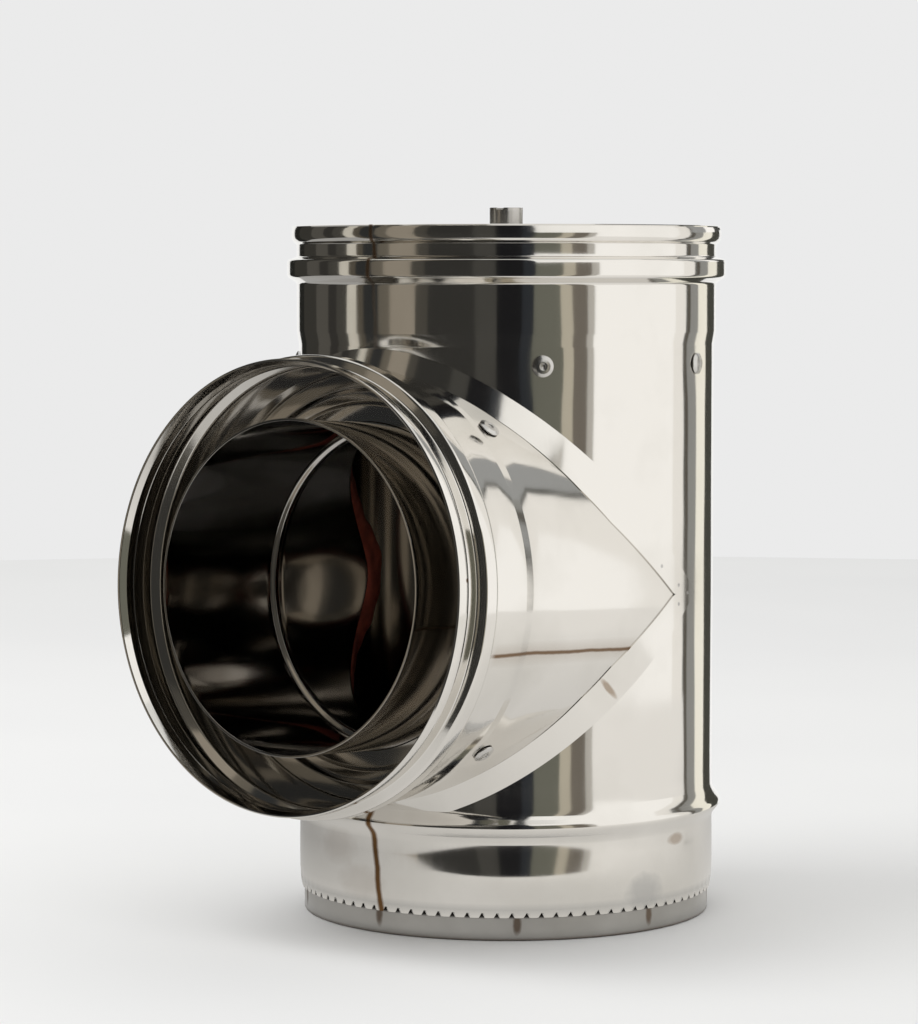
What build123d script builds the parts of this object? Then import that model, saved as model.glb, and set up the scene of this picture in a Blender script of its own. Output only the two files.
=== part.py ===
from build123d import *
import os
from math import cos, radians, sin

# Flue tee of two walls: a run that stands upright and a branch that leaves it towards -Y.
# Millimetres, +Z up, the run's axis on Z and the foot at z = 0.

# Sheet and bores
flue_diameter = 150.0
sheet = 0.6
shell_diameter = 199.2
lap_gap = 0.1
slide_gap = 0.3

# Run and branch, with the plain shell that is left below and above the branch
branch_reach = 162.0
branch_slope = 3.0
root_clearance = 3.5
crown_clearance = 10.5

# Socket that is formed on the top and on the branch, depths counted from its rim
socket_step = 1.0
socket_depth = 50.0
joggle_length = 6.0
rim_reach = 0.3
lip_reach = 2.2
lip_length = 4.4
groove_start = 8.6
groove_length = 6.0
band_rise = 1.4
band_reach = 4.6
band_length = 8.0
band_fall = 3.0
form_radius = 0.9

# Stop bead and skirt of the male end
bead_height = 52.5
bead_reach = 3.8
bead_length = 12.0
bead_crest = 2.6
skirt_edge_height = 10.7
skirt_edge_tuck = 0.2
crimp_height = 15.0
crimp_rise = 3.0
notch_count = 90
notch_width = 1.3
notch_depth = 2.4

# Closing ring of the foot
ring_step = 2.0
ring_wall_height = 22.0
ring_collar_height = 14.0

# Saddle flange round the branch root
flange_width = 9.7
flange_tip = 18.0

# Liners
liner_recess = 3.0
liner_foot = 1.0
hem_length = 6.0
neck_start = 84.0
neck_step = 2.0
neck_taper = 2.5
sealant_thickness = 0.9
sealant_width = 9.0
sealant_tip = 3.0

# Rings that close the wool space at the sockets
plate_skirt = 15.0
ridge_width = 8.0
ridge_height = 2.5

# Blind rivets
rivet_offset = 8.5
rivet_radius = 2.35
rivet_head_radius = 5.0
rivet_head_rim = 0.5
rivet_head_height = 1.7
rivet_face_radius = 2.6
rivet_eye_radius = 1.2
rivet_eye_depth = 0.8
rivet_tail_radius = 3.3
rivet_tail_length = 2.5
top_rivet_pairs = 3
top_rivet_start_angle = 48.0
top_rivet_pitch_angle = 54.0
branch_rivet_offset = 6.5
branch_rivet_upper_angle = 41.5
branch_rivet_lower_angle = 136.0

# Drain plug and its spout
plug_depth = 28.0
plug_brim = 2.5
spout_diameter = 16.0
spout_wall = 0.9
spout_stand = 9.0
spout_tail = 6.0
spout_collar_radius = 10.5
spout_collar_height = 2.0
chip_width = 3.6
chip_depth = 1.1
chip_angle = 15.0

# Radii and heights that follow from the sizes above: the mitre rises more above the branch than below
slope = radians(branch_slope)
rise_above = (1 + sin(slope)) / cos(slope)
rise_below = (1 - sin(slope)) / cos(slope)
shell_radius = shell_diameter / 2
collar_radius = shell_radius + socket_step
liner_bore_radius = flue_diameter / 2
liner_radius = liner_bore_radius + sheet
neck_radius = liner_radius - neck_step
ring_radius = shell_radius - ring_step
crimp_radius = ring_radius + lap_gap + sheet
joggle_end = socket_depth + joggle_length
plate_depth = joggle_end + lap_gap
plate_radius = shell_radius - sheet - lap_gap
wool_radius = plate_radius - sheet - slide_gap
collar_bore = liner_radius + slide_gap
bead_top = bead_height + bead_length / 2
bead_foot = bead_height - bead_length / 2
branch_height = bead_top + root_clearance + shell_radius * rise_below
tee_height = branch_height + shell_radius * rise_above + crown_clearance + joggle_end
liner_top = tee_height - liner_recess

# The branch leaves the run at its own slope
branch_out = (0, -cos(slope), sin(slope))
branch_root = (0, 0, branch_height)
branch_axis = Axis(branch_root, branch_out)
run_section = Plane.XZ
branch_section = Plane(branch_root, x_dir=(1, 0, 0), z_dir=(0, -sin(slope), -cos(slope)))
branch_end = Plane(branch_root, x_dir=(1, 0, 0), z_dir=branch_out)
far = 2 * (branch_reach + shell_radius)


def socket_outline(rim):
    """Outer face of a socket from its lip to the plain shell, as (radius, place along the axis)."""
    band_start = groove_start + groove_length + band_rise
    band_end = band_start + band_length
    return [
        (collar_radius + rim_reach, rim),
        (collar_radius + lip_reach, rim - lip_length),
        (collar_radius, rim - groove_start),
        (collar_radius, rim - groove_start - groove_length),
        (collar_radius + band_reach, rim - band_start),
        (collar_radius + band_reach, rim - band_end),
        (collar_radius, rim - band_end - band_fall),
        (collar_radius, rim - socket_depth),
        (shell_radius, rim - joggle_end),
    ]


def plate_outline(rim):
    """Upper face of a closing ring, from its bore to the end of its riveted skirt."""
    face = rim - plate_depth
    middle = (collar_bore + plate_radius) / 2
    return [
        (collar_bore, face),
        (middle - ridge_width / 2, face),
        (middle - ridge_width / 4, face - ridge_height),
        (middle + ridge_width / 4, face - ridge_height),
        (middle + ridge_width / 2, face),
        (plate_radius, face),
        (plate_radius, face - plate_skirt),
    ]


def run_seat(angle):
    """Place of a rivet on the run shell, turned from the branch's side."""
    turn = radians(angle)
    outward = (sin(turn), -cos(turn), 0)
    height = tee_height - joggle_end - rivet_offset
    return Plane((shell_radius * sin(turn), -shell_radius * cos(turn), height), z_dir=outward).location


def branch_seat(angle):
    """Place of a rivet on the branch shell, turned from the upright."""
    turn = radians(angle)
    along = branch_reach - joggle_end - branch_rivet_offset
    face = Plane((shell_radius * sin(turn), shell_radius * cos(turn), along), z_dir=(sin(turn), cos(turn), 0))
    return branch_end.location * face.location


top_seats = [
    run_seat(side * (top_rivet_start_angle + top_rivet_pitch_angle * pair))
    for pair in range(top_rivet_pairs)
    for side in (-1, 1)
]
branch_seats = [
    branch_seat(side * angle) for angle in (branch_rivet_upper_angle, branch_rivet_lower_angle) for side in (-1, 1)
]
grip = 2 * (sheet + lap_gap)
drill_radius = rivet_radius + lap_gap
drill_length = 2 * (grip + slide_gap)
pocket_radius = rivet_tail_radius + slide_gap
pocket_length = 2 * (grip + rivet_tail_length + slide_gap)

# The wedge of space that belongs to the branch: its two planes are the mitre of the joint
with BuildPart() as branch_wedge:
    with BuildSketch(Plane.YZ):
        with BuildLine():
            Polyline(
                (0, branch_height),
                (-far, branch_height + far * rise_above),
                (-far, branch_height - far * rise_below),
                close=True,
            )
        make_face()
    extrude(amount=far, both=True)

# Run shell: one sheet with the socket, the stop bead and the serrated skirt
with BuildPart() as run_shell:
    with BuildSketch(run_section):
        with BuildLine():
            FilletPolyline(
                *socket_outline(tee_height),
                (shell_radius, bead_top),
                (shell_radius + bead_reach, bead_height + bead_crest / 2),
                (shell_radius + bead_reach, bead_height - bead_crest / 2),
                (shell_radius, bead_foot),
                (shell_radius, crimp_height + crimp_rise),
                (crimp_radius, crimp_height),
                (shell_radius - skirt_edge_tuck, skirt_edge_height),
                radius=form_radius,
            )
            offset(amount=sheet, side=Side.RIGHT)
        make_face()
    revolve(axis=Axis.Z)
    add(branch_wedge.part, mode=Mode.SUBTRACT)
    with Locations((0, 0, skirt_edge_height)):
        with PolarLocations(shell_radius, notch_count):
            Box(2 * (ring_step + sheet), notch_width, 2 * notch_depth, mode=Mode.SUBTRACT)
    with Locations(*top_seats):
        Cylinder(drill_radius, drill_length, mode=Mode.SUBTRACT)
run_shell.part.label = "run_shell"

# Branch shell: the same socket on a short tube that is mitred on to the run
with BuildPart() as branch_shell:
    with BuildSketch(branch_section):
        with BuildLine():
            FilletPolyline(*socket_outline(branch_reach), (shell_radius, -sheet), radius=form_radius)
            offset(amount=sheet, side=Side.RIGHT)
        make_face()
    revolve(axis=branch_axis)
    add(branch_wedge.part, mode=Mode.INTERSECT)
    with Locations(*branch_seats):
        Cylinder(drill_radius, drill_length, mode=Mode.SUBTRACT)
branch_shell.part.label = "branch_shell"

# Saddle flange: a strip on the run shell, wider towards its two points and ending above the bead
with BuildPart() as flange_wedge:
    crown = branch_height + shell_radius * rise_above + flange_width
    sole = branch_height - shell_radius * rise_below - flange_width
    spread = (far + flange_tip) / (shell_radius + flange_tip)
    with BuildSketch(Plane.YZ):
        with BuildLine():
            Polyline(
                (flange_tip, branch_height),
                (-far, branch_height + (crown - branch_height) * spread),
                (-far, branch_height + (sole - branch_height) * spread),
                close=True,
            )
        make_face()
    extrude(amount=far, both=True)

with BuildPart() as saddle_flange:
    flange_foot = bead_top + form_radius
    with BuildSketch(Plane.XY.offset(flange_foot)):
        Circle(shell_radius + lap_gap + sheet)
        Circle(shell_radius + lap_gap, mode=Mode.SUBTRACT)
    extrude(amount=tee_height - joggle_end - form_radius / 2 - flange_foot)
    add(flange_wedge.part, mode=Mode.INTERSECT)
    add(branch_wedge.part, mode=Mode.SUBTRACT)
saddle_flange.part.label = "saddle_flange"

# Foot ring: a channel that closes the wool space and stands on the floor
with BuildPart() as foot_ring:
    with BuildSketch(run_section):
        with BuildLine():
            FilletPolyline(
                (ring_radius, ring_wall_height),
                (ring_radius, 0),
                (collar_bore, 0),
                (collar_bore, ring_collar_height),
                radius=form_radius,
            )
            offset(amount=sheet, side=Side.RIGHT)
        make_face()
    revolve(axis=Axis.Z)
foot_ring.part.label = "foot_ring"

# Closing rings: a pressed web with a skirt that the rivets hold
with BuildPart() as top_plate:
    with BuildSketch(run_section):
        with BuildLine():
            FilletPolyline(*plate_outline(tee_height), radius=form_radius)
            offset(amount=sheet, side=Side.RIGHT)
        make_face()
    revolve(axis=Axis.Z)
    add(branch_wedge.part, mode=Mode.SUBTRACT)
    with Locations(*top_seats):
        Cylinder(drill_radius, drill_length, mode=Mode.SUBTRACT)
top_plate.part.label = "top_plate"

with BuildPart() as branch_plate:
    with BuildSketch(branch_section):
        with BuildLine():
            FilletPolyline(*plate_outline(branch_reach), radius=form_radius)
            offset(amount=sheet, side=Side.RIGHT)
        make_face()
    revolve(axis=branch_axis)
    add(branch_wedge.part, mode=Mode.INTERSECT)
    with Locations(*branch_seats):
        Cylinder(drill_radius, drill_length, mode=Mode.SUBTRACT)
branch_plate.part.label = "branch_plate"

# Run liner: the flue way, hemmed at the top, with a hole that takes the branch liner's neck
with BuildPart() as run_liner:
    with BuildSketch(run_section):
        with BuildLine():
            Polyline(
                (liner_bore_radius, liner_foot),
                (liner_radius, liner_foot),
                (liner_radius, liner_top - hem_length),
                (liner_radius + sheet, liner_top - hem_length),
                (liner_radius + sheet, liner_top),
                (liner_bore_radius, liner_top),
                close=True,
            )
        make_face()
    revolve(axis=Axis.Z)
    with BuildSketch(branch_end):
        Circle(neck_radius + lap_gap)
    extrude(amount=branch_reach, mode=Mode.SUBTRACT)
run_liner.part.label = "run_liner"

# Branch liner: hemmed at its rim and drawn in to a neck that ends flush inside the run liner
with BuildPart() as branch_liner:
    liner_rim = branch_reach - liner_recess
    with BuildSketch(branch_section):
        with BuildLine():
            FilletPolyline(
                (liner_radius, liner_rim),
                (liner_radius, neck_start + neck_taper),
                (neck_radius, neck_start),
                (neck_radius, 0),
                radius=form_radius,
            )
            offset(amount=sheet, side=Side.RIGHT)
        make_face()
        with BuildLine():
            Polyline(
                (liner_radius, liner_rim - hem_length),
                (liner_radius + sheet, liner_rim - hem_length),
                (liner_radius + sheet, liner_rim),
                (liner_radius, liner_rim),
                close=True,
            )
        make_face()
    revolve(axis=branch_axis)
    with BuildSketch(Plane.XY):
        Circle(liner_bore_radius)
    extrude(amount=tee_height, mode=Mode.SUBTRACT)
branch_liner.part.label = "branch_liner"

# Sealant: a strip smeared on the run liner's inside, round the neck's end
with BuildPart() as sealant_wedge:
    neck_crown = (neck_radius + liner_bore_radius * sin(slope)) / cos(slope) + sealant_width
    neck_sole = (neck_radius - liner_bore_radius * sin(slope)) / cos(slope) + sealant_width
    smear = (far + sealant_tip) / (liner_bore_radius + sealant_tip)
    with BuildSketch(Plane.YZ):
        with BuildLine():
            Polyline(
                (sealant_tip, branch_height),
                (-far, branch_height + neck_crown * smear),
                (-far, branch_height - neck_sole * smear),
                close=True,
            )
        make_face()
    extrude(amount=far, both=True)

with BuildPart() as liner_sealant:
    with BuildSketch(Plane.XY.offset(liner_foot)):
        Circle(liner_bore_radius - lap_gap)
        Circle(liner_bore_radius - lap_gap - sealant_thickness, mode=Mode.SUBTRACT)
    extrude(amount=liner_top - plug_depth - liner_foot)
    add(sealant_wedge.part, mode=Mode.INTERSECT)
    with BuildSketch(branch_end):
        Circle(neck_radius - sheet)
    extrude(amount=branch_reach, mode=Mode.SUBTRACT)
liner_sealant.part.label = "liner_sealant"

# Mineral wool between the two walls
with BuildPart() as run_wool:
    with BuildSketch(run_section):
        with BuildLine():
            Polyline(
                (collar_bore + sheet + slide_gap, sheet + slide_gap),
                (ring_radius - sheet - slide_gap, sheet + slide_gap),
                (ring_radius - sheet - slide_gap, ring_wall_height + slide_gap),
                (wool_radius, ring_wall_height + slide_gap),
                (wool_radius, tee_height - plate_depth - ridge_height - sheet - slide_gap),
                (collar_bore, tee_height - plate_depth - ridge_height - sheet - slide_gap),
                (collar_bore, ring_collar_height + slide_gap),
                (collar_bore + sheet + slide_gap, ring_collar_height + slide_gap),
                close=True,
            )
        make_face()
    revolve(axis=Axis.Z)
    add(branch_wedge.part, mode=Mode.SUBTRACT)
    with Locations(*top_seats):
        Cylinder(pocket_radius, pocket_length, mode=Mode.SUBTRACT)
run_wool.part.label = "run_wool"

with BuildPart() as branch_wool:
    with BuildSketch(branch_end):
        Circle(wool_radius)
        Circle(collar_bore, mode=Mode.SUBTRACT)
    extrude(amount=branch_reach - plate_depth - ridge_height - sheet - slide_gap)
    add(branch_wedge.part, mode=Mode.INTERSECT)
    with BuildSketch(Plane.XY):
        Circle(collar_bore)
    extrude(amount=tee_height, mode=Mode.SUBTRACT)
    with Locations(*branch_seats):
        Cylinder(pocket_radius, pocket_length, mode=Mode.SUBTRACT)
branch_wool.part.label = "branch_wool"

# Blind rivets: a domed head with the pulled pin's eye, and a tail behind the plate's skirt
with BuildPart() as rivet:
    with BuildSketch(Plane.XZ):
        with BuildLine():
            Polyline(
                (0, rivet_head_height - rivet_eye_depth),
                (rivet_eye_radius, rivet_head_height - rivet_eye_depth),
                (rivet_eye_radius, rivet_head_height),
                (rivet_face_radius, rivet_head_height),
                (rivet_head_radius, rivet_head_rim + lap_gap),
                (rivet_head_radius, lap_gap),
                (rivet_radius, lap_gap),
                (rivet_radius, -grip),
                (rivet_tail_radius, -grip),
                (rivet_tail_radius, -grip - rivet_tail_length),
                (0, -grip - rivet_tail_length),
                close=True,
            )
        make_face()
    revolve(axis=Axis.Z)

with BuildPart() as top_rivets:
    with Locations(*top_seats):
        add(rivet.part)
top_rivets.part.label = "top_rivets"

with BuildPart() as branch_rivets:
    with Locations(*branch_seats):
        add(rivet.part)
branch_rivets.part.label = "branch_rivets"

# Drain plug: a pan that hangs in the liner's top by its brim
with BuildPart() as drain_plug:
    plug_radius = liner_bore_radius - slide_gap
    plug_floor = liner_top - plug_depth
    spout_radius = spout_diameter / 2
    with BuildSketch(run_section):
        with BuildLine():
            FilletPolyline(
                (plug_radius + plug_brim, liner_top + lap_gap),
                (plug_radius, liner_top + lap_gap),
                (plug_radius, plug_floor),
                (spout_radius + lap_gap, plug_floor),
                radius=form_radius / 2,
            )
            offset(amount=sheet, side=Side.RIGHT)
        make_face()
    revolve(axis=Axis.Z)
drain_plug.part.label = "drain_plug"

# Drain spout: a tube with a collar that sits on the pan, chipped at its upper edge
with BuildPart() as drain_spout:
    spout_top = tee_height + spout_stand
    with BuildSketch(Plane.XY.offset(plug_floor - spout_tail)):
        Circle(spout_radius)
        Circle(spout_radius - spout_wall, mode=Mode.SUBTRACT)
    extrude(amount=spout_top - plug_floor + spout_tail)
    with BuildSketch(Plane.XY.offset(plug_floor + sheet)):
        Circle(spout_collar_radius)
        Circle(spout_radius - spout_wall, mode=Mode.SUBTRACT)
    extrude(amount=spout_collar_height)
    with Locations(Location((0, 0, spout_top), (0, 0, chip_angle))):
        with Locations((0, -spout_radius, 0)):
            Box(chip_width, 4 * spout_wall, 2 * chip_depth, mode=Mode.SUBTRACT)
drain_spout.part.label = "drain_spout"

os.makedirs("parts", exist_ok=True)
export_step(run_shell.part, "parts/run_shell.step")
export_step(branch_shell.part, "parts/branch_shell.step")
export_step(saddle_flange.part, "parts/saddle_flange.step")
export_step(foot_ring.part, "parts/foot_ring.step")
export_step(top_plate.part, "parts/top_plate.step")
export_step(branch_plate.part, "parts/branch_plate.step")
export_step(run_liner.part, "parts/run_liner.step")
export_step(branch_liner.part, "parts/branch_liner.step")
export_step(liner_sealant.part, "parts/liner_sealant.step")
export_step(run_wool.part, "parts/run_wool.step")
export_step(branch_wool.part, "parts/branch_wool.step")
export_step(top_rivets.part, "parts/top_rivets.step")
export_step(branch_rivets.part, "parts/branch_rivets.step")
export_step(drain_plug.part, "parts/drain_plug.step")
export_step(drain_spout.part, "parts/drain_spout.step")
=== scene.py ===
from math import asin, ceil, cos, exp, pi, radians, sin, sqrt, tan

import bmesh
import bpy
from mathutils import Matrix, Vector


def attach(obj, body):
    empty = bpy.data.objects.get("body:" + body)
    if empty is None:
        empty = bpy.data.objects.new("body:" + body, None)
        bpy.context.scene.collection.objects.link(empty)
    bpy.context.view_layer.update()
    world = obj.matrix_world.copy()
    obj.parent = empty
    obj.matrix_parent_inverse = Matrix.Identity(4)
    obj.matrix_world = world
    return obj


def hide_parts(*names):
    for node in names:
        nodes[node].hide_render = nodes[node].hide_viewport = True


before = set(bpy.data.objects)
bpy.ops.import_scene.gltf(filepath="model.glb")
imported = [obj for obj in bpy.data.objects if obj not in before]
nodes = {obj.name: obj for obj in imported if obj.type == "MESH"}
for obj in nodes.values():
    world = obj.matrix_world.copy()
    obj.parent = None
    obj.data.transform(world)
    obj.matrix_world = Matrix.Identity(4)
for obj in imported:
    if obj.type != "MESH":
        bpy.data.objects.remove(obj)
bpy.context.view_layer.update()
scene = bpy.context.scene


# Run liner: the tube that carries the flue gas, rolled from bright annealed stainless sheet.
# Its top is hemmed and it stands inside the outer shell, with mineral wool between the two.
mm = 0.001
sheet = 0.6
tee_height = 327.973
branch_height = 156.517
liner_radius = 75.6
liner_foot = 1.0
liner_recess = 3.0
hem_length = 6.0
neck_radius = 73.6
hole_clearance = 1.0
bend_step = radians(14)
sharp_angle = radians(32)
# Painted shade: the liner's tint is kept darker than the shell's sheet, for the shade inside the tubes,
# and its smears go darker still.
liner_tint_shaded = (0.64, 0.62, 0.59, 1)
liner_dark_smear = (0.42, 0.39, 0.35, 1)
slope = radians(3.0)
branch_root = Vector((0, 0, branch_height))
branch_out = Vector((0, -cos(slope), sin(slope)))
branch_up = Vector((0, sin(slope), cos(slope)))


class Value:
    """A number, colour or vector on its way through a material; sums on it add Math nodes."""

    def __init__(self, tree, socket):
        self.tree = tree
        self.socket = socket

    def node(self, kind, settings=None, inputs=None, out=0):
        made = self.tree.nodes.new("ShaderNode" + kind)
        for name, setting in (settings or {}).items():
            setattr(made, name, setting)
        for name, value in (inputs or {}).items():
            if isinstance(value, Value):
                self.tree.links.new(value.socket, made.inputs[name])
            else:
                made.inputs[name].default_value = value
        return Value(self.tree, made.outputs[out])

    def sum(self, operation, *values):
        return self.node("Math", {"operation": operation}, dict(enumerate(values)))

    def __add__(self, other):
        return self.sum("ADD", self, other)

    __radd__ = __add__

    def __sub__(self, other):
        return self.sum("SUBTRACT", self, other)

    def __rsub__(self, other):
        return self.sum("SUBTRACT", other, self)

    def __mul__(self, other):
        return self.sum("MULTIPLY", self, other)

    __rmul__ = __mul__

    def __truediv__(self, other):
        return self.sum("DIVIDE", self, other)

    def __pow__(self, other):
        return self.sum("POWER", self, other)

    def __abs__(self):
        return self.sum("ABSOLUTE", self)

    def along(self, direction):
        return self.node("VectorMath", {"operation": "DOT_PRODUCT"}, {0: self, 1: direction}, out="Value")

    def noise(self, scale, detail=2.0, stretch=(1, 1, 1)):
        stretched = self.node("VectorMath", {"operation": "MULTIPLY"}, {0: self, 1: stretch})
        return self.node("TexNoise", {}, {"Vector": stretched, "Scale": scale, "Detail": detail})

    def between(self, low, high):
        return self.node("MapRange", {}, {"Value": self, "From Min": low, "From Max": high})

    def tinted(self, first, second):
        return self.node("MixRGB", {}, {"Fac": self, "Color1": first, "Color2": second})


def steel(name, tint, worn_tint, roughness, grain, marks=None):
    """Stainless sheet: mill grain, hazy smears and, on top of them, the marks of its own piece."""
    material = bpy.data.materials.new(name)
    material.use_nodes = True
    tree = material.node_tree
    shader = tree.nodes["Principled BSDF"]
    here = Value(tree, tree.nodes.new("ShaderNodeTexCoord").outputs["Object"])
    smear = here.noise(16, 5).between(0.45, 0.75)
    rolled = here.noise(700, 3, grain)
    colour = smear.tinted(tint, worn_tint)
    rough = roughness + 0.06 * smear + 0.05 * rolled
    for mask, mark_colour, mark_roughness in marks(here) if marks else ():
        colour = mask.tinted(colour, mark_colour)
        rough = rough + mask * mark_roughness
    dented = 0.03 * rolled + here.noise(28, 1)
    normal = dented.node("Bump", {}, {"Strength": 0.05, "Distance": 0.002, "Height": dented})
    tree.links.new(colour.socket, shader.inputs["Base Color"])
    tree.links.new(rough.socket, shader.inputs["Roughness"])
    tree.links.new(normal.socket, shader.inputs["Normal"])
    shader.inputs["Metallic"].default_value = 1.0
    return material


def on_run(radius, along, turn):
    """Point of the run at a turn from the branch's side, in metres."""
    return Vector((radius * sin(turn), -radius * cos(turn), along)) * mm


def on_branch(radius, along, turn):
    """Point of the branch at a turn from its upper side, in metres."""
    around = Vector((-sin(turn), 0, 0)) + branch_up * cos(turn)
    return (branch_root + branch_out * along + around * radius) * mm


def rounded(corners, radius=0.9, stride=8.0):
    """Section of a formed sheet: its corners bent to a radius or to their own, long stretches divided."""
    bends = [corner[2] if len(corner) > 2 else radius for corner in corners]
    corners = [Vector(corner[:2]) for corner in corners]
    path = [corners[0]]
    for before, corner, after, bend in zip(corners, corners[1:], corners[2:], bends[1:]):
        back = (before - corner).normalized()
        on = (after - corner).normalized()
        room = 0.49 * min((before - corner).length, (after - corner).length)
        reach = min(bend / tan(back.angle(on) / 2), room)
        steps = max(1, ceil((pi - back.angle(on)) / bend_step))
        for step in range(steps + 1):
            share = step / steps
            path.append(
                (corner + back * reach) * (1 - share) ** 2
                + corner * 2 * share * (1 - share)
                + (corner + on * reach) * share**2
            )
    path.append(corners[-1])
    divided = [path[0]]
    for start, end in zip(path, path[1:]):
        count = max(1, ceil((end - start).length / stride))
        divided += [start.lerp(end, (step + 1) / count) for step in range(count)]
    return divided


def spun(section, place, columns=360, closed=False, swell=None):
    """Skin of a section that goes once round an axis, as a bmesh."""
    skin = bmesh.new()
    rows = []
    for column in range(columns):
        turn = 2 * pi * column / columns
        rows.append([
            skin.verts.new(place(radius + (swell(turn, along) if swell else 0), along, turn))
            for radius, along in section
        ])
    count = len(section)
    for column in range(columns):
        row = rows[column]
        following = rows[(column + 1) % columns]
        for step in range(count if closed else count - 1):
            after = (step + 1) % count
            skin.faces.new((row[step], row[after], following[after], following[step]))
    return skin


def piece(name, skin, material, slot, *replaced, thickness=sheet):
    """Object of a skin; a sheet gets its thickness on the inner side, and its edges stay sharp."""
    mesh = bpy.data.meshes.new(name)
    skin.to_mesh(mesh)
    skin.free()
    made = bpy.data.objects.new(name, mesh)
    scene.collection.objects.link(made)
    if thickness:
        solid = made.modifiers.new("sheet", "SOLIDIFY")
        solid.thickness = thickness * mm
        solid.offset = -1
        depsgraph = bpy.context.evaluated_depsgraph_get()
        made.data = bpy.data.meshes.new_from_object(made.evaluated_get(depsgraph))
        made.data.name = name
        made.modifiers.clear()
    made.data.shade_smooth()
    made.data.set_sharp_from_angle(angle=sharp_angle)
    made.data.materials.clear()
    made.data.materials.append(material)
    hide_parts(*replaced)
    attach(made, "root")
    return made


def joined(skin, added):
    """One bmesh of two."""
    carrier = bpy.data.meshes.new("carrier")
    added.to_mesh(carrier)
    added.free()
    skin.from_mesh(carrier)
    bpy.data.meshes.remove(carrier)
    return skin


def trimmed(skin, outside):
    """Take away the faces whose middle lies outside."""
    gone = [face for face in skin.faces if outside(face.calc_center_median() / mm)]
    bmesh.ops.delete(skin, geom=gone, context="FACES")
    return skin


liner_steel = steel("liner_steel", liner_tint_shaded, liner_dark_smear, 0.05, (1, 1, 0.05))
liner_top = tee_height - liner_recess
run_liner_section = rounded(
    [
        (liner_radius, liner_top - hem_length),
        (liner_radius, liner_foot),
        (liner_radius - sheet, liner_foot),
        (liner_radius - sheet, liner_top),
        (liner_radius + sheet, liner_top),
        (liner_radius + sheet, liner_top - hem_length),
    ],
    radius=0.3,
    stride=3.0,
)


def in_neck(point):
    """Whether a point is in the hole that takes the branch liner's neck."""
    from_root = point - branch_root
    reach = from_root.dot(branch_out)
    return reach > 0 and (from_root - branch_out * reach).length < neck_radius + hole_clearance


run_liner = spun(run_liner_section, on_run, columns=300, closed=True)
piece("run_liner_tube", trimmed(run_liner, in_neck), liner_steel, "liner_steel", "run_liner", thickness=0)


# Branch liner: the tube that brings the flue gas in, with a rolled shoulder and a drawn in neck.
# The neck plugs into the hole of the run liner and is trimmed to its round inside.
branch_reach = 162.0
neck_start = 84.0
neck_taper = 2.5
shoulder_roll = 0.7
roll_length = 4.0
roll_crest = 0.6
roll_fall = 1.6
liner_rim = branch_reach - liner_recess
branch_liner_section = rounded(
    [
        (liner_radius, liner_rim - hem_length),
        (liner_radius, neck_start + neck_taper),
        (neck_radius, neck_start),
        (neck_radius, 0),
        (neck_radius - sheet, 0),
        (neck_radius - sheet, neck_start - roll_length, 3.0),
        (neck_radius - sheet - shoulder_roll, neck_start - roll_crest, 1.6),
        (neck_radius - sheet, neck_start + roll_fall, 1.0),
        (liner_radius - sheet, neck_start + neck_taper, 1.0),
        (liner_radius - sheet, liner_rim),
        (liner_radius + sheet, liner_rim),
        (liner_radius + sheet, liner_rim - hem_length),
    ],
    radius=0.3,
    stride=3.0,
)


def on_branch_liner(radius, along, turn):
    """Point of the branch liner, whose neck ends on the round inside of the run liner."""
    if along < neck_start:
        inside = sqrt((liner_radius - sheet) ** 2 - (radius * sin(turn)) ** 2)
        end = (inside + radius * sin(slope) * cos(turn)) / cos(slope)
        along = end + along / neck_start * (neck_start - end)
    return on_branch(radius, along, turn)


branch_liner = spun(branch_liner_section, on_branch_liner, columns=400, closed=True)
piece("branch_liner_tube", branch_liner, liner_steel, "liner_steel", "branch_liner", thickness=0)


# Sealant: red high temperature paste, smeared by hand inside the run liner round the neck's end.
# Its width and its thickness vary, and it is widest at the lower side, where it has sagged.
bore = liner_radius - sheet
paste_width = 12.0
paste_height = 1.0
paste_edge = 0.05
paste_lap = 0.3
sag_turn = 0.45
sag_spread = 0.25
sag_width = 0.6
smear_columns = 480
smear_steps = 8
paste_red = (0.42, 0.08, 0.045, 1)
paste_dark = (0.22, 0.045, 0.028, 1)


def paste(name):
    """Cured paste: uneven red, dull where it was wiped thin."""
    material = bpy.data.materials.new(name)
    material.use_nodes = True
    tree = material.node_tree
    shader = tree.nodes["Principled BSDF"]
    here = Value(tree, tree.nodes.new("ShaderNodeTexCoord").outputs["Object"])
    wiped = here.noise(90, 4).between(0.35, 0.7)
    lumps = here.noise(260, 3)
    colour = wiped.tinted(paste_red, paste_dark)
    rough = 0.38 + 0.25 * wiped
    normal = lumps.node("Bump", {}, {"Strength": 0.4, "Distance": 0.0008, "Height": lumps})
    tree.links.new(colour.socket, shader.inputs["Base Color"])
    tree.links.new(rough.socket, shader.inputs["Roughness"])
    tree.links.new(normal.socket, shader.inputs["Normal"])
    return material


def neck_edge(turn):
    """Place of the neck's end on the unrolled run liner: distance round it, and height."""
    across = (neck_radius - sheet) * sin(turn)
    along = (sqrt(bore**2 - across**2) + (neck_radius - sheet) * sin(slope) * cos(turn)) / cos(slope)
    height = branch_height + along * sin(slope) + neck_radius * cos(slope) * cos(turn)
    return Vector((bore * asin(across / bore), height))


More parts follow.
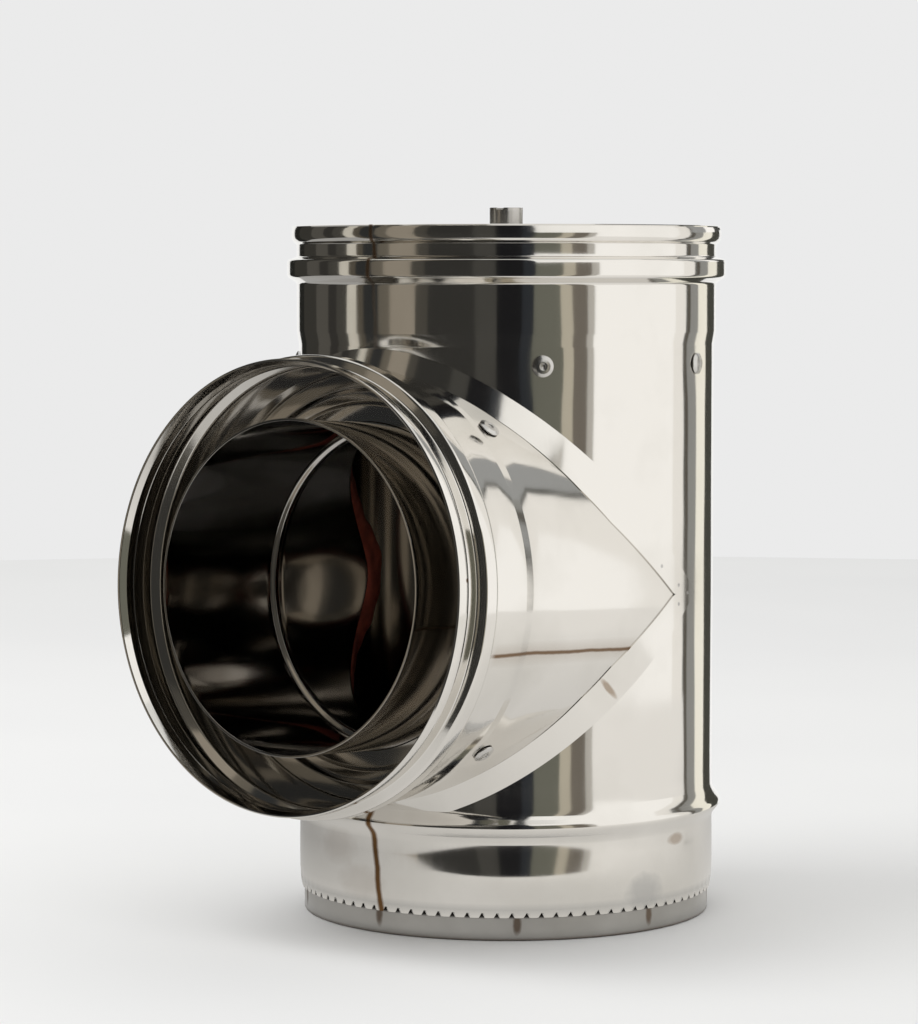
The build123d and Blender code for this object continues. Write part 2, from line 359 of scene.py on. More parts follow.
smear_skin = bmesh.new()
smear_rows = []
for column in range(smear_columns):
    turn = 2 * pi * column / smear_columns
    edge = neck_edge(turn)
    tangent = neck_edge(turn + 0.01) - neck_edge(turn - 0.01)
    outward = Vector((-tangent.y, tangent.x)).normalized()
    sagged = exp(-(((abs(turn - pi) - sag_turn) / sag_spread) ** 2))
    ragged = 0.1 * sin(7 * turn) + 0.07 * sin(17 * turn + 1) + 0.05 * sin(41 * turn)
    width = paste_width * (1 + ragged + sag_width * sagged)
    row = []
    for step in range(smear_steps + 1):
        share = step / smear_steps
        place = edge + outward * (width * share - paste_lap)
        lumpy = 1 + 0.4 * sin(11 * turn + 3 * share)
        height = paste_height * lumpy * sin(pi * share) ** 0.5 + paste_edge
        row.append(smear_skin.verts.new(on_run(bore - height, place.y, place.x / bore)))
    smear_rows.append(row)
for column in range(smear_columns):
    row = smear_rows[column]
    following = smear_rows[(column + 1) % smear_columns]
    for step in range(smear_steps):
        smear_skin.faces.new((row[step], row[step + 1], following[step + 1], following[step]))
piece("liner_paste", smear_skin, paste("paste_red"), "sealant", "liner_sealant", thickness=0)


# Mineral wool: packed mats that fill the space between the two walls of the run and of the branch.
# They are closed in by the rings and never show on the finished tee.
wool_pale = (0.62, 0.54, 0.36, 1)
wool_brown = (0.40, 0.32, 0.17, 1)


def wool(name):
    """Matted fibre: lengthwise strands over a blotchy binder."""
    material = bpy.data.materials.new(name)
    material.use_nodes = True
    tree = material.node_tree
    shader = tree.nodes["Principled BSDF"]
    here = Value(tree, tree.nodes.new("ShaderNodeTexCoord").outputs["Object"])
    strands = here.noise(420, 6, (1, 1, 0.15))
    colour = (0.6 * strands + 0.4 * here.noise(60, 3)).between(0.35, 0.65).tinted(wool_pale, wool_brown)
    normal = strands.node("Bump", {}, {"Strength": 0.8, "Distance": 0.002, "Height": strands})
    tree.links.new(colour.socket, shader.inputs["Base Color"])
    tree.links.new(normal.socket, shader.inputs["Normal"])
    shader.inputs["Roughness"].default_value = 0.95
    return material


wool_mat = wool("wool_mat")
for name in ("run_wool", "branch_wool"):
    nodes[name].data.materials.clear()
    nodes[name].data.materials.append(wool_mat)


# Closing rings: pressed from the same sheet, one at the foot of each socket, over the wool.
# Each has a web with one pressed ridge and a skirt that the rivets hold to the shell.
shell_radius = 99.6
lap_gap = 0.1
slide_gap = 0.3
joggle_end = 56.0
plate_skirt = 15.0
ridge_width = 8.0
ridge_height = 2.5
plate_tint = (0.62, 0.60, 0.57, 1)
plate_haze = (0.46, 0.44, 0.41, 1)
plate_radius = shell_radius - sheet - lap_gap
collar_bore = liner_radius + slide_gap
plate_steel = steel("plate_steel", plate_tint, plate_haze, 0.06, (1, 1, 0.05))


def plate_section(rim):
    """Upper face of a closing ring, from its bore to the end of its skirt."""
    face = rim - joggle_end - lap_gap
    middle = (collar_bore + plate_radius) / 2
    return rounded(
        [
            (collar_bore, face),
            (middle - ridge_width / 2, face),
            (middle - ridge_width / 4, face - ridge_height),
            (middle + ridge_width / 4, face - ridge_height),
            (middle + ridge_width / 2, face),
            (plate_radius, face),
            (plate_radius, face - plate_skirt),
        ]
    )


mitre_above = Vector((0, (1 + sin(slope)) / cos(slope), 1)).normalized()
mitre_below = Vector((0, (1 - sin(slope)) / cos(slope), -1)).normalized()


def mitred(skin, keeps_branch):
    """Cut a tube along the two planes of the joint and keep the run's or the branch's side."""
    for mitre in (mitre_above, mitre_below):
        near = [face for face in skin.faces if face.calc_center_median().y < 0 or keeps_branch]
        edges = {edge for face in near for edge in face.edges}
        verts = {vert for face in near for vert in face.verts}
        bmesh.ops.bisect_plane(
            skin, geom=[*verts, *edges, *near], plane_co=branch_root * mm, plane_no=mitre, dist=1e-6
        )

    def outside(point):
        from_root = point - branch_root
        in_wedge = from_root.dot(mitre_above) < 0 and from_root.dot(mitre_below) < 0
        return in_wedge != keeps_branch

    return trimmed(skin, outside)


top_ring = spun(plate_section(tee_height), on_run)
branch_ring = spun(plate_section(branch_reach), on_branch)
piece("top_closing_ring", mitred(top_ring, False), plate_steel, "bright_steel", "top_plate")
piece("branch_closing_ring", mitred(branch_ring, True), plate_steel, "bright_steel", "branch_plate")


# Foot ring: a duller channel of mill finished sheet that closes the wool space underneath.
# The skirt of the run shell is crimped round it and held by a row of small spot welds.
ring_radius = 97.6
ring_wall_height = 22.0
ring_collar_height = 14.0
ring_tint = (0.46, 0.45, 0.43, 1)
ring_haze = (0.34, 0.33, 0.31, 1)
spot_brown_and_foot_shade = (0.10, 0.055, 0.025, 1)
notch_shade_dark = (0.03, 0.028, 0.025, 1)
skirt_edge = 10.7
spot_height = 8.0
spot_width = 2.4
spot_tall = 6.0
spot_count = 9
spot_turn = radians(1.5)
foot_shade_height = 1.6
notch_shade_blur = 0.6


def run_places(here):
    """Turn from the branch's side, in radians, and height, in metres, of a point on the run."""
    across = here.along((1, 0, 0))
    forward = here.along((0, -1, 0))
    return across.sum("ARCTAN2", across, forward), here.along((0, 0, 1))


def soft_spot(here, aside, above, wide, tall):
    """Blotch with a ragged edge, from how far a point is aside and above its middle, in metres."""
    ragged = here.noise(160, 4) * 0.9 - 0.45
    return ((aside / wide) ** 2 + (above / tall) ** 2 + ragged).between(1, 0.2)


def ring_marks(here):
    turn, height = run_places(here)
    pitch = 2 * pi / spot_count
    aside = turn.sum("WRAP", turn - spot_turn, pitch / 2, -pitch / 2) * (ring_radius * mm)
    weld = soft_spot(here, aside, height - spot_height * mm, spot_width * mm, spot_tall * mm)
    # Painted shade: the ring is darkened in brown along its foot, where it meets the floor.
    foot = height.between(foot_shade_height * mm, 0.0)
    # Painted shade: a dark band on the ring just behind the skirt's edge, which shows only in the notches
    # and as a thin line under the skirt.
    notch_shade = height.between((skirt_edge - notch_shade_blur) * mm, (skirt_edge + notch_shade_blur) * mm)
    return [(0.75 * weld, spot_brown_and_foot_shade, 0.2), (0.7 * foot, spot_brown_and_foot_shade, 0.2), (notch_shade, notch_shade_dark, 0.4)]


ring_steel = steel("ring_steel", ring_tint, ring_haze, 0.26, (0.06, 0.06, 1), ring_marks)
foot_section = rounded(
    [
        (ring_radius, ring_wall_height),
        (ring_radius, 0),
        (collar_bore, 0),
        (collar_bore, ring_collar_height),
    ],
    stride=3.0,
)
piece("crimped_foot_ring", spun(foot_section, on_run), ring_steel, "dull_steel", "foot_ring")


# Run shell: the outer tube, rolled from one bright annealed sheet and closed by one weld.
# The socket, the stop bead and the serrated skirt are rolled into it, and the branch hole is cut out.
socket_step = 1.0
collar_radius = shell_radius + socket_step
socket_depth = 50.0
lip_flare = 1.7
lip_flare_depth = 3.9
lip_throat = 0.4
lip_depth = 8.0
bead_height = 52.5
bead_reach = 3.8
bead_length = 12.0
bead_crest = 2.6
crimp_height = 15.0
crimp_radius = 98.7
notch_count = 90
notch_depth = 2.6
flute_depth = 0.4
flute_length = 9.0
skirt_belly = 2.3
belly_start = 2.0
belly_length = 29.0
belly_turn = radians(41)
belly_spread = 0.34
dent_depth = 0.28
dent_spread = 11.0
rivet_offset = 8.5
rivet_height = tee_height - joggle_end - rivet_offset
top_rivet_turns = [side * radians(turn) for turn in (48, 102, 156) for side in (-1, 1)]
bright_tint = (0.80, 0.78, 0.745, 1)
bright_haze = (0.70, 0.68, 0.64, 1)
weld_brown = (0.16, 0.085, 0.035, 1)
stain_brown = (0.30, 0.21, 0.13, 1)
stain_grey = (0.46, 0.46, 0.45, 1)
drip_top = 55.0
drip_aside = 0.6
drip_lean = 0.1
drip_width = 2.3
drip_ragged = 4.0
seam_aside = 2.6
seam_width = 1.6
seam_ragged = 5.0
crimp_dull_height = 14.5
crimp_dull_width = 3.0
skirt_stains = [
    (-13.5, 38.0, 15.0, 10.0, 0.16, stain_brown, 0.1),
    (-4.4, 23.5, 17.0, 9.0, 0.16, stain_brown, 0.1),
    (91.7, 41.5, 7.0, 3.2, 0.55, stain_brown, 0.15),
    (79.0, 19.4, 13.0, 9.5, 0.6, stain_grey, 0.12),
]


def socket_corners(rim):
    """Outer face of a socket from its lip to the plain shell."""
    return [
        (collar_radius + lip_flare, rim),
        (collar_radius + 2.2, rim - 1.6, 3.0),
        (collar_radius + 2.4, rim - 4.4, 3.0),
        (collar_radius + 2.1, rim - 6.2, 3.0),
        (collar_radius + 1.3, rim - 7.6, 2.0),
        (collar_radius, rim - 8.6, 0.8),
        (collar_radius, rim - 14.6),
        (collar_radius + 4.6, rim - 16.0, 1.8),
        (collar_radius + 4.6, rim - 24.0, 2.4),
        (collar_radius, rim - 27.0, 2.0),
        (collar_radius, rim - socket_depth, 3.0),
        (shell_radius, rim - joggle_end, 3.0),
    ]


def lip_lining(rim, place, columns, swell):
    """Flared inner face of a rolled lip."""
    section = rounded(
        [
            (collar_radius + lip_flare, rim),
            (collar_radius - lip_throat, rim - lip_flare_depth),
            (collar_radius - lip_throat, rim - lip_depth),
        ],
        radius=1.5,
    )
    lining = spun(section, place, columns, swell=swell)
    bmesh.ops.reverse_faces(lining, faces=lining.faces)
    return lining


def turned(turn, middle):
    """Turn from a middle, the short way round."""
    return (turn - middle + pi) % (2 * pi) - pi


def rivet_dents(turn, along, rivet_turns, rivet_along):
    """How far the sheet is drawn in round its rivets, in millimetres."""
    dent = 0.0
    for rivet_turn in rivet_turns:
        aside = turned(turn, rivet_turn) * shell_radius
        dent -= dent_depth * exp(-(aside**2 + (along - rivet_along) ** 2) / dent_spread**2)
    return dent


def run_swell(turn, along):
    """How far the rolled sheet stands off its true round, in millimetres."""
    wave = 0.05 * sin(3 * turn + 0.4) + 0.035 * sin(7 * turn + along * 0.03)
    wave += 0.02 * sin(13 * turn - along * 0.05)
    belly = 0.0
    if along < bead_height - bead_length / 2:
        above_crimp = max(0.0, min(1.0, (along - crimp_height - belly_start) / belly_length))
        bulge = 0.05 + 0.95 * exp(-((turned(turn, belly_turn) / belly_spread) ** 2))
        belly = skirt_belly * bulge * sin(pi * above_crimp**0.75) ** 2
    fluted = 0.5 + 0.5 * cos(notch_count * turn)
    flute = flute_depth * fluted * max(0.0, 1 - (along - skirt_edge) / flute_length)
    return wave + rivet_dents(turn, along, top_rivet_turns, rivet_height) + belly - flute


def weld_line(here, aside, ragged, width):
    """Narrow line where the sheet's edges are welded, wandering a little."""
    wander = (here.noise(45, 3) - 0.5) * ragged
    return (abs(aside + wander) / width).between(1, 0.35)


def run_marks(here):
    turn, height = run_places(here)
    aside = turn * shell_radius * mm
    crimp = (abs(height - crimp_dull_height * mm) / (crimp_dull_width * mm)).between(1, 0)
    marks = [(0.5 * crimp, stain_grey, 0.15)]
    for stain_turn, stain_height, wide, tall, strength, colour, dulled in skirt_stains:
        stain_aside = aside - radians(stain_turn) * shell_radius * mm
        stain = soft_spot(here, stain_aside, height - stain_height * mm, wide * mm, tall * mm)
        marks.append((strength * stain, colour, dulled))
    skirt = height.between(0.061, 0.056)
    drip_path = aside - (drip_top * mm - height) * drip_lean - drip_aside * mm
    drip = weld_line(here, drip_path, drip_ragged * mm, drip_width * mm) * skirt
    upper = height.between(0.268, 0.272)
    band = height.between(0.299, 0.303)
    seam = weld_line(here, aside - seam_aside * mm, seam_ragged * mm, seam_width * mm)
    seam = seam * upper * (0.5 + 0.4 * band)
    return [*marks, (drip, weld_brown, 0.2), (seam, weld_brown, 0.2)]


run_steel = steel("run_steel", bright_tint, bright_haze, 0.05, (1, 1, 0.04), run_marks)
run_section = rounded(
    [
        *socket_corners(tee_height),
        (shell_radius, bead_height + bead_length / 2, 9.0),
        (shell_radius + bead_reach, bead_height + bead_crest / 2, 3.0),
        (shell_radius + bead_reach, bead_height - bead_crest / 2, 3.0),
        (shell_radius, bead_height - bead_length / 2, 6.0),
        (shell_radius, crimp_height + 5.0, 9.0),
        (crimp_radius + 0.5, skirt_edge + notch_depth, 4.0),
        (crimp_radius, skirt_edge),
    ],
    stride=8.0,
)


def on_run_shell(radius, along, turn):
    """Point of the run shell, higher where its serrated edge is nicked."""
    nick = cos(notch_count * turn) > 0.9 and along < skirt_edge + 0.1
    return on_run(radius, along + (notch_depth if nick else 0.0), turn)


run_skin = spun(run_section, on_run_shell, columns=5 * notch_count, swell=run_swell)
run_skin = joined(mitred(run_skin, False), lip_lining(tee_height, on_run, 450, run_swell))
piece("run_outer_tube", run_skin, run_steel, "bright_steel", "run_shell")


# Branch shell: the outer tube of the branch, with the same rolled socket as the run's top.
# Its end is mitred on to the run, and its one weld line faces the viewer low on the right.
branch_rivet_offset = 6.5
branch_rivet_along = branch_reach - joggle_end - branch_rivet_offset
branch_rivet_turns = [side * radians(turn) for turn in (41.5, 136) for side in (-1, 1)]
branch_weld_turn = radians(104.3)
branch_weld_ragged = 2.0
branch_weld_width = 1.2
branch_weld_glow = 6.0
lip_chip_turn = radians(85)
lip_chip_reach = 156.5
lip_chip_radius = 1.2
scuff_turn = radians(84)
scuff_reach = 98.0
scuff_wide = 12.0
scuff_long = 20.0


def branch_places(here):
    """Turn from the upper side towards +X, in radians, and reach, in metres, of a point on the branch."""
    from_root = here.node("VectorMath", {"operation": "SUBTRACT"}, {0: here, 1: branch_root * mm})
    across = from_root.along((1, 0, 0))
    return across.sum("ARCTAN2", across, from_root.along(branch_up)), from_root.along(branch_out)


def branch_swell(turn, along):
    """How far the rolled sheet of the branch stands off its true round, in millimetres."""
    wave = 0.05 * sin(2 * turn + 1.0) + 0.04 * sin(5 * turn + along * 0.04)
    wave += 0.02 * sin(11 * turn - along * 0.06)
    return wave + rivet_dents(turn, along, branch_rivet_turns, branch_rivet_along)


def branch_marks(here):
    turn, reach = branch_places(here)
    aside = (turn - branch_weld_turn) * shell_radius * mm
    inner = reach.between(0.024, 0.027) * reach.between(0.133, 0.129)
    seam = weld_line(here, aside, branch_weld_ragged * mm, branch_weld_width * mm) * inner
    glow = (abs(aside) / (branch_weld_glow * mm)).between(1, 0) * inner
    chip_aside = (turn - lip_chip_turn) * shell_radius * mm
    chip_radius = lip_chip_radius * mm
    chip = soft_spot(here, chip_aside, reach - lip_chip_reach * mm, chip_radius, chip_radius)
    scuff_aside = (turn - scuff_turn) * shell_radius * mm
    scuff = soft_spot(here, scuff_aside, reach - scuff_reach * mm, scuff_wide * mm, scuff_long * mm)
    return [
        (0.25 * scuff, bright_haze, 0.06),
        (0.3 * glow, stain_brown, 0.05),
        (0.9 * seam, weld_brown, 0.2),
        (chip, spot_brown_and_foot_shade, 0.3),
    ]


branch_steel = steel("branch_steel", bright_tint, bright_haze, 0.05, (1, 0.04, 1), branch_marks)
branch_section = rounded([*socket_corners(branch_reach), (shell_radius, -sheet)])
branch_skin = spun(branch_section, on_branch, columns=450, swell=branch_swell)
branch_skin = joined(mitred(branch_skin, True), lip_lining(branch_reach, on_branch, 450, branch_swell))
piece("branch_outer_tube", branch_skin, branch_steel, "bright_steel", "branch_shell")


# Saddle flange: a strip cut from the same sheet that lies on the run all round the branch's root.
# It runs out to a point on each side, and small spot welds hold it down near those points.
flange_width = 9.7
flange_tip = 18.0
flange_lift = lap_gap + sheet
flange_clearance = 0.9
flange_foot = bead_height + bead_length / 2 + flange_clearance
flange_head = tee_height - joggle_end - flange_clearance / 2
flange_raise = 3.6
flange_climb = 7.5
rise_above = (1 + sin(slope)) / cos(slope)
rise_below = (1 - sin(slope)) / cos(slope)
flange_welds = [(84.4, 170.3), (91.8, 160.7), (91.9, 151.8), (96.4, 156.5)]
weld_radius = 1.1
burn_turn = radians(66)
burn_height = 115.8
burn_width = 1.8
burn_length = 8.0
flange_columns = 360
flange_rows = 6


def flange_edges(turn, rise, side):
    """Heights of the strip's two edges at a turn, above the joint or, with side -1, below it."""
    forward = shell_radius * cos(turn)
    inner = max(0.0, forward) * rise
    outer = (shell_radius * rise + flange_width) * (forward + flange_tip) / (shell_radius + flange_tip)
    room = flange_head - branch_height if side > 0 else branch_height - flange_foot
    return branch_height + side * min(inner, room), branch_height + side * min(max(inner, outer), room)


def flange_marks(here):
    turn, height = run_places(here)
    aside = turn * (shell_radius * mm)
    burn_aside = aside - burn_turn * shell_radius * mm
    burn_above = height - burn_height * mm
    across_burn = 0.7 * (burn_aside + burn_above)
    along_burn = 0.7 * (burn_above - burn_aside)
    burn = soft_spot(here, across_burn, along_burn, burn_width * mm, burn_length * mm)
    marks = [(0.7 * burn, stain_brown, 0.15)]
    for weld_turn, weld_height in flange_welds:
        weld_aside = aside - radians(weld_turn) * shell_radius * mm
        dot = soft_spot(here, weld_aside, height - weld_height * mm, weld_radius * mm, weld_radius * mm)
        marks.append((0.8 * dot, stain_grey, 0.2))
    return marks


flange_steel = steel("flange_steel", bright_tint, bright_haze, 0.06, (1, 1, 0.04), flange_marks)
flange_reach = pi / 2 + asin(flange_tip / shell_radius)
flange_skin = bmesh.new()
for rise, side in ((rise_above, 1), (rise_below, -1)):
    strip = []
    for column in range(flange_columns + 1):
        turn = flange_reach * (2 * column / flange_columns - 1)
        inner, outer = flange_edges(turn, rise, side)
        front = max(0.0, cos(turn))
        climb = min(flange_raise, flange_climb * front) * min(1.0, 3 * front) / max(front, 0.01)
        at_branch = on_run(shell_radius + flange_lift * (1 - front), inner, turn)
        at_branch += branch_out * (flange_lift * front + climb) * mm
        at_run = on_run(shell_radius + flange_lift, outer, turn)
        shares = [step / flange_rows for step in range(flange_rows + 1)]
        strip.append([flange_skin.verts.new(at_branch.lerp(at_run, share)) for share in shares])
    for row, following in zip(strip, strip[1:]):
        for step in range(flange_rows):
            corners = (row[step], following[step], following[step + 1], row[step + 1])
            flange_skin.faces.new(corners[::side])
bmesh.ops.remove_doubles(flange_skin, verts=flange_skin.verts, dist=0.02 * mm)
piece("saddle_strip", flange_skin, flange_steel, "bright_steel", "saddle_flange")


# Blind rivets: domed stainless heads with the eye of the pulled pin, drawn tight on the shell.
# They hold the closing rings, six round the run's top and four round the branch.
rivet_grip = 1.4
rivet_radius = 2.35
rivet_head_radius = 5.0
rivet_eye_radius = 1.2
rivet_tail_radius = 3.3
rivet_tail = rivet_grip + 2.5
rivet_tint = (0.62, 0.61, 0.59, 1)
rivet_haze = (0.40, 0.39, 0.37, 1)
rivet_section = rounded(
    [
        (0.01, 0.7),
        (rivet_eye_radius, 0.9),
        (rivet_eye_radius, 1.55),
        (1.9, 1.7),
        (3.4, 1.45),
        (rivet_head_radius, 0.55),
        (rivet_head_radius, lap_gap),
        (rivet_radius, lap_gap),
        (rivet_radius, -rivet_grip),
        (rivet_tail_radius, -rivet_grip),
        (rivet_tail_radius, -rivet_tail),
        (0.01, -rivet_tail),
    ],
    radius=0.5,
)
rivet_steel = steel("rivet_steel", rivet_tint, rivet_haze, 0.2, (1, 1, 1))


def riveted(name, seats, node):
    """Group of rivets, each on its seat: a point of the shell and two directions along it."""
    skin = bmesh.new()
    for seat, first, second in seats:

        def on_seat(radius, along, turn):
            outward = first.cross(second)
            around = first * cos(turn) + second * sin(turn)
            return seat + (around * radius + outward * along) * mm

        head = spun(rivet_section, on_seat, columns=40)
        bmesh.ops.recalc_face_normals(head, faces=head.faces)
        joined(skin, head)
    return piece(name, skin, rivet_steel, "rivet_steel", node, thickness=0)


top_seats = [
    (on_run(shell_radius, rivet_height, turn), Vector((cos(turn), sin(turn), 0)), Vector((0, 0, 1)))
    for turn in top_rivet_turns
]
branch_seats = [
    (
        on_branch(shell_radius, branch_rivet_along, turn),
        branch_out,
        branch_out.cross(Vector((-sin(turn), 0, 0)) + branch_up * cos(turn)) * -1,
    )
    for turn in branch_rivet_turns
]
riveted("top_rivet_set", top_seats, "top_rivets")
riveted("branch_rivet_set", branch_seats, "branch_rivets")


# Drain plug: a pressed pan that hangs in the top of the run liner by its brim.
# It closes the unused end and leads condensate to the spout in its middle.
plug_depth = 28.0
plug_brim = 2.5
spout_radius = 8.0
plug_radius = liner_radius - sheet - slide_gap
plug_floor = liner_top - plug_depth
plug_section = rounded(
    [
        (plug_radius + plug_brim, liner_top + lap_gap + sheet),
        (plug_radius - sheet, liner_top + lap_gap + sheet),
        (plug_radius - sheet, plug_floor + sheet),
        (spout_radius + lap_gap, plug_floor + sheet),
    ],
    radius=0.45,
)
plug_skin = spun(plug_section, on_run)
bmesh.ops.reverse_faces(plug_skin, faces=plug_skin.faces)
piece("drain_pan", plug_skin, plate_steel, "bright_steel", "drain_plug")


# Drain spout: a short tube with a collar, welded into the pan on the run's axis.
# Its sawn upper edge stands a little above the socket and has one chip in it.
spout_stand = 9.0
spout_wall = 0.9
spout_tail = 6.0
spout_collar = 10.5
spout_collar_height = 2.0
spout_top = tee_height + spout_stand
spout_bore = spout_radius - spout_wall
chip_width = 3.6
chip_depth = 1.1
chip_turn = radians(15)
spout_tint = (0.58, 0.565, 0.54, 1)
spout_haze = (0.36, 0.33, 0.29, 1)
spout_section = rounded(
    [
        (spout_bore, plug_floor - spout_tail),
        (spout_radius, plug_floor - spout_tail),
        (spout_radius, plug_floor + sheet),
        (spout_collar, plug_floor + sheet),
        (spout_collar, plug_floor + sheet + spout_collar_height),
        (spout_radius, plug_floor + sheet + spout_collar_height),
        (spout_radius, spout_top),
        (spout_bore, spout_top),
    ],
    radius=0.3,
    stride=2.0,
)


def on_spout(radius, along, turn):
    """Point of the spout, lower where its edge is chipped."""
    aside = turned(turn, chip_turn) * spout_radius
    nick = chip_depth if abs(aside) < chip_width / 2 else 0.0
    return on_run(radius, min(along, spout_top - nick), turn)


spout_skin = spun(spout_section, on_spout, columns=96, closed=True)
bmesh.ops.recalc_face_normals(spout_skin, faces=spout_skin.faces)
spout_steel = steel("spout_steel", spout_tint, spout_haze, 0.22, (1, 1, 0.1))
piece("drain_tube", spout_skin, spout_steel, "dull_steel", "drain_spout", thickness=0)


# Stage: a wide pale sheet to stand on, lit softly from above, with a white surround.
# Cards round the tee show only in the steel: dark ones in front, a cream one on the right.
floor_pale = (0.84, 0.84, 0.83, 1)
floor_shade = (0.81, 0.81, 0.805, 1)
floor_radius = 2.1
floor_drop = -0.0002
camera_turn = radians(38.40)
camera_back = Vector((sin(camera_turn), -cos(camera_turn), 0))
camera_right = Vector((cos(camera_turn), sin(camera_turn), 0))
near_card = 0.42
far_card = 0.95
back_card = 0.32
low_head = 0.338
high_head = 1.5
floor_card_near = 0.11
floor_card_far = 2.0
floor_card_drop = -0.0001
floor_card_steps = 96
floor_card_left = (0.38, 0.375, 0.365, 1)
floor_card_right = (0.90, 0.88, 0.845, 1)
ceiling_glow = (0.85, 0.85, 0.83)
ceiling_radius = 1.0
surround_seen = (0.83, 0.83, 0.83, 1)
surround_light = (0.88, 0.88, 0.88, 1)
lamp_place = camera_right * -1.2 + camera_back * 0.3 + Vector((0, 0, 1.8))
lamp_aim = Vector((0, 0, 0.1))
lamp_power = 14
lamp_size = 1.2


def set_up(name, skin, material, height=0.0, steel_only=False):
    """Put a thing of the stage up; a card for reflections shows in the steel only."""
    mesh = bpy.data.meshes.new(name)
    skin.to_mesh(mesh)
    skin.free()
    mesh.materials.append(material)
    made = bpy.data.objects.new(name, mesh)
    made.location.z = height
    if steel_only:
        made.visible_camera = False
        made.visible_diffuse = False
        made.visible_shadow = False
        made.visible_transmission = False
        made.visible_volume_scatter = False
    scene.collection.objects.link(made)


floor_paper = bpy.data.materials.new("floor_paper")
floor_paper.use_nodes = True
floor_tree = floor_paper.node_tree
floor_shader = floor_tree.nodes["Principled BSDF"]
floor_here = Value(floor_tree, floor_tree.nodes.new("ShaderNodeTexCoord").outputs["Object"])
floor_colour = floor_here.noise(2.2, 2).between(0.3, 0.7).tinted(floor_pale, floor_shade)
floor_tree.links.new(floor_colour.socket, floor_shader.inputs["Base Color"])
floor_shader.inputs["Roughness"].default_value = 0.9
floor_shader.inputs["Specular IOR Level"].default_value = 0.0
floor_skin = bmesh.new()
bmesh.ops.create_circle(floor_skin, cap_ends=True, segments=256, radius=floor_radius)
set_up("floor_sheet", floor_skin, floor_paper, floor_drop)


def glowing(name, glow):
    """Even glow of a card."""
    material = bpy.data.materials.new(name)
    material.use_nodes = True
    tree = material.node_tree
    tree.nodes.remove(tree.nodes["Principled BSDF"])
    shine = tree.nodes.new("ShaderNodeEmission")
    shine.inputs["Color"].default_value = (*glow, 1)
    tree.links.new(shine.outputs["Emission"], tree.nodes["Material Output"].inputs["Surface"])
    return material


def card(name, first, last, radius, foot, head, glow):
    """Curved card round the tee, between two turns from the camera's side."""
    skin = bmesh.new()
    steps = max(2, ceil(abs(last - first) / 3))
    columns = []
    for step in range(steps + 1):
        turn = radians(first + (last - first) * step / steps)
        out = (camera_back * cos(turn) + camera_right * sin(turn)) * radius
        columns.append([skin.verts.new(out + Vector((0, 0, height))) for height in (foot, head)])
    for left, right in zip(columns, columns[1:]):
        skin.faces.new((left[0], right[0], right[1], left[1]))
    set_up(name, skin, glowing(name, glow), steel_only=True)


cards = [
    (-180, -152, far_card, high_head, (0.97, 0.97, 0.96)),
    (-152, -140, far_card, high_head, (0.018, 0.018, 0.016)),
    (-140, -122, far_card, high_head, (0.04, 0.038, 0.033)),
    (-122, -109, far_card, high_head, (0.085, 0.08, 0.07)),
    (-109, -101, far_card, high_head, (0.035, 0.033, 0.03)),
    (-101, -92, far_card, high_head, (0.06, 0.057, 0.05)),
    (-92, -83, far_card, high_head, (0.60, 0.57, 0.50)),
    (-83, -50, far_card, high_head, (0.06, 0.057, 0.05)),
    (-79, -74.3, near_card, high_head, (0.09, 0.078, 0.06)),
    (-74.3, -64.9, near_card, high_head, (0.028, 0.029, 0.029)),
    (-64.9, -58.3, near_card, high_head, (0.14, 0.125, 0.10)),
    (-58.3, -44.2, near_card, high_head, (0.30, 0.265, 0.215)),
    (-44.2, -37.6, near_card, high_head, (0.07, 0.065, 0.055)),
    (-37.6, -15, near_card, high_head, (0.035, 0.034, 0.031)),
    (-15, -4.7, near_card, high_head, (0.062, 0.060, 0.054)),
    (-4.7, 7.5, near_card, high_head, (0.011, 0.011, 0.012)),
    (7.5, 13.2, near_card, high_head, (0.026, 0.029, 0.034)),
    (13.2, 26.3, near_card, low_head, (0.15, 0.15, 0.122)),
    (26.3, 32, near_card, low_head, (0.50, 0.46, 0.37)),
    (32, 39.5, near_card, low_head, (0.17, 0.15, 0.125)),
    (39.5, 43.2, near_card, low_head, (0.50, 0.48, 0.44)),
    (34, 100, far_card, high_head, (1.08, 1.065, 1.035)),
    (100, 110, far_card, high_head, (0.95, 0.925, 0.88)),
    (110, 112, far_card, high_head, (0.12, 0.12, 0.11)),
    (112, 128, far_card, high_head, (0.36, 0.365, 0.36)),
    (128, 143, far_card, high_head, (1.15, 1.13, 1.09)),
    (143, 161, far_card, high_head, (0.07, 0.07, 0.065)),
    (161, 180, far_card, high_head, (0.97, 0.97, 0.96)),
    (101, 104, back_card, low_head, (0.10, 0.09, 0.075)),
    (104, 113, back_card, low_head, (0.30, 0.30, 0.285)),
    (113, 126, back_card, low_head, (0.98, 0.95, 0.84)),
    (126, 143, back_card, low_head, (0.06, 0.06, 0.05)),
    (143, 180, back_card, low_head, (0.97, 0.97, 0.96)),
]
for number, (first, last, radius, head, glow) in enumerate(cards):
    card(f"card_{number}", first, last, radius, 0, head, glow)
card("card_softbox", 13, 46, far_card, low_head, high_head, (1.05, 1.04, 1.01))

ceiling_skin = bmesh.new()
bmesh.ops.create_circle(ceiling_skin, cap_ends=True, segments=64, radius=ceiling_radius)
set_up("card_ceiling", ceiling_skin, glowing("card_ceiling", ceiling_glow), high_head, steel_only=True)

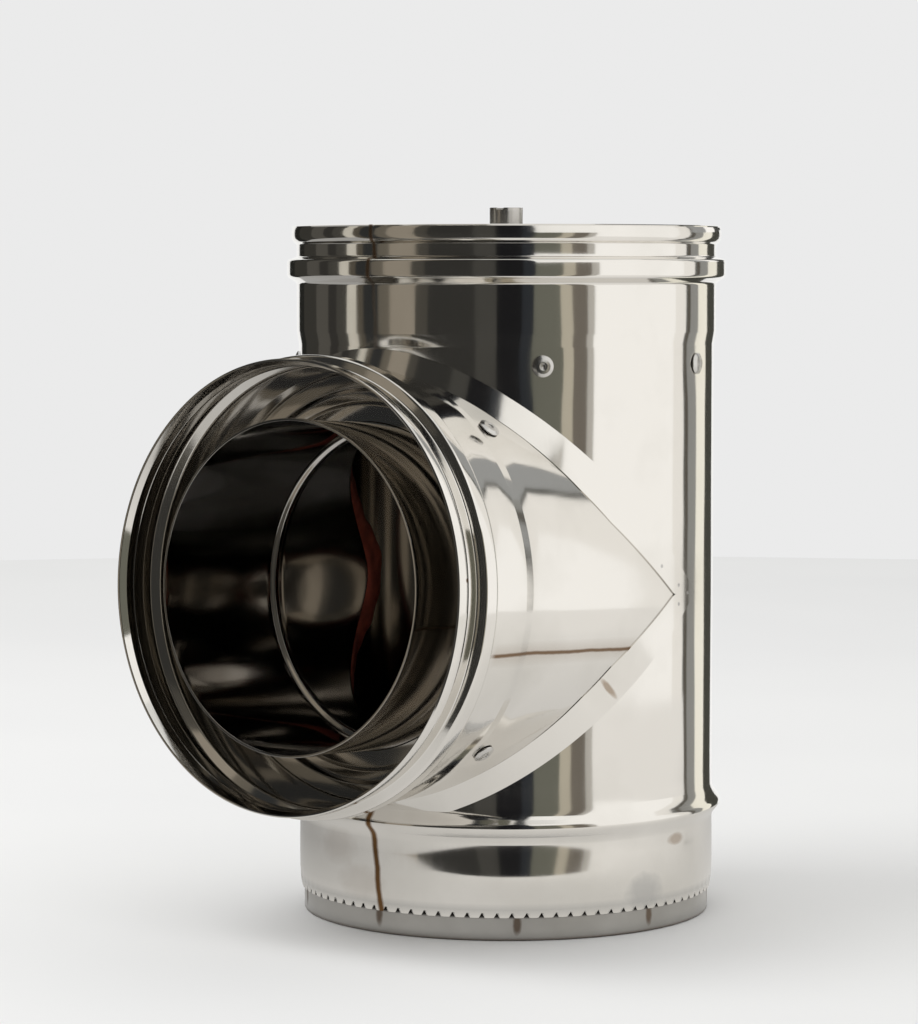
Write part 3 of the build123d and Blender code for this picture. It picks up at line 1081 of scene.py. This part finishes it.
floor_glow = bpy.data.materials.new("card_floor")
floor_glow.use_nodes = True
glow_tree = floor_glow.node_tree
glow_shader = glow_tree.nodes["Principled BSDF"]
glow_here = Value(glow_tree, glow_tree.nodes.new("ShaderNodeTexCoord").outputs["Object"])
glow_side = glow_here.along((camera_right + camera_back) * sqrt(0.5)).between(-0.3, 0.35)
glow_colour = glow_side.tinted(floor_card_left, floor_card_right)
glow_tree.links.new(glow_colour.socket, glow_shader.inputs["Emission Color"])
glow_shader.inputs["Emission Strength"].default_value = 1.0
glow_shader.inputs["Base Color"].default_value = (0, 0, 0, 1)
glow_shader.inputs["Specular IOR Level"].default_value = 0.0
floor_card_skin = bmesh.new()
floor_card_turns = [2 * pi * step / floor_card_steps for step in range(floor_card_steps)]
inner_ring, outer_ring = (
    [
        floor_card_skin.verts.new((radius * cos(turn), radius * sin(turn), floor_card_drop))
        for turn in floor_card_turns
    ]
    for radius in (floor_card_near, floor_card_far)
)
for step in range(floor_card_steps):
    before = step - 1
    floor_card_skin.faces.new((inner_ring[before], outer_ring[before], outer_ring[step], inner_ring[step]))
set_up("card_floor", floor_card_skin, floor_glow, steel_only=True)

lamp_light = bpy.data.lights.new("lamp_left", "AREA")
lamp_light.energy = lamp_power
lamp_light.size = lamp_size
lamp = bpy.data.objects.new("lamp_left", lamp_light)
lamp.location = lamp_place
lamp.rotation_euler = (lamp_aim - lamp_place).to_track_quat("-Z", "Y").to_euler()
lamp.visible_glossy = False
scene.collection.objects.link(lamp)

world = bpy.data.worlds.new("studio")
scene.world = world
world.use_nodes = True
surround = world.node_tree.nodes["Background"]
light_path = world.node_tree.nodes.new("ShaderNodeLightPath")
camera_ray, glossy_ray, clear_ray = (
    Value(world.node_tree, light_path.outputs[ray])
    for ray in ("Is Camera Ray", "Is Glossy Ray", "Is Transmission Ray")
)
surround_colour = (camera_ray + glossy_ray + clear_ray).tinted(surround_light, surround_seen)
world.node_tree.links.new(surround_colour.socket, surround.inputs["Color"])
scene.view_settings.view_transform = "Standard"


# Camera: on the photograph's side, a little above the branch and almost level.
# A long lens, far enough away that the upright edges hardly lean.
camera_far = 1700.0
camera_height = 306.9
camera_yaw = radians(-0.764)
camera_pitch = radians(3.914)
picture_height = 1024
focal_pixels = 3530.0
level = -camera_back * cos(camera_yaw) + camera_right * sin(camera_yaw)
aim = level * cos(camera_pitch) - Vector((0, 0, 1)) * sin(camera_pitch)
view = bpy.data.cameras.new("view")
view.sensor_width = 36.0
view.lens = focal_pixels * view.sensor_width / picture_height
view.clip_start = 0.01
camera = bpy.data.objects.new("camera", view)
camera.location = (camera_back * camera_far + Vector((0, 0, camera_height))) * mm
camera.rotation_euler = aim.to_track_quat("-Z", "Y").to_euler()
scene.collection.objects.link(camera)
scene.camera = camera
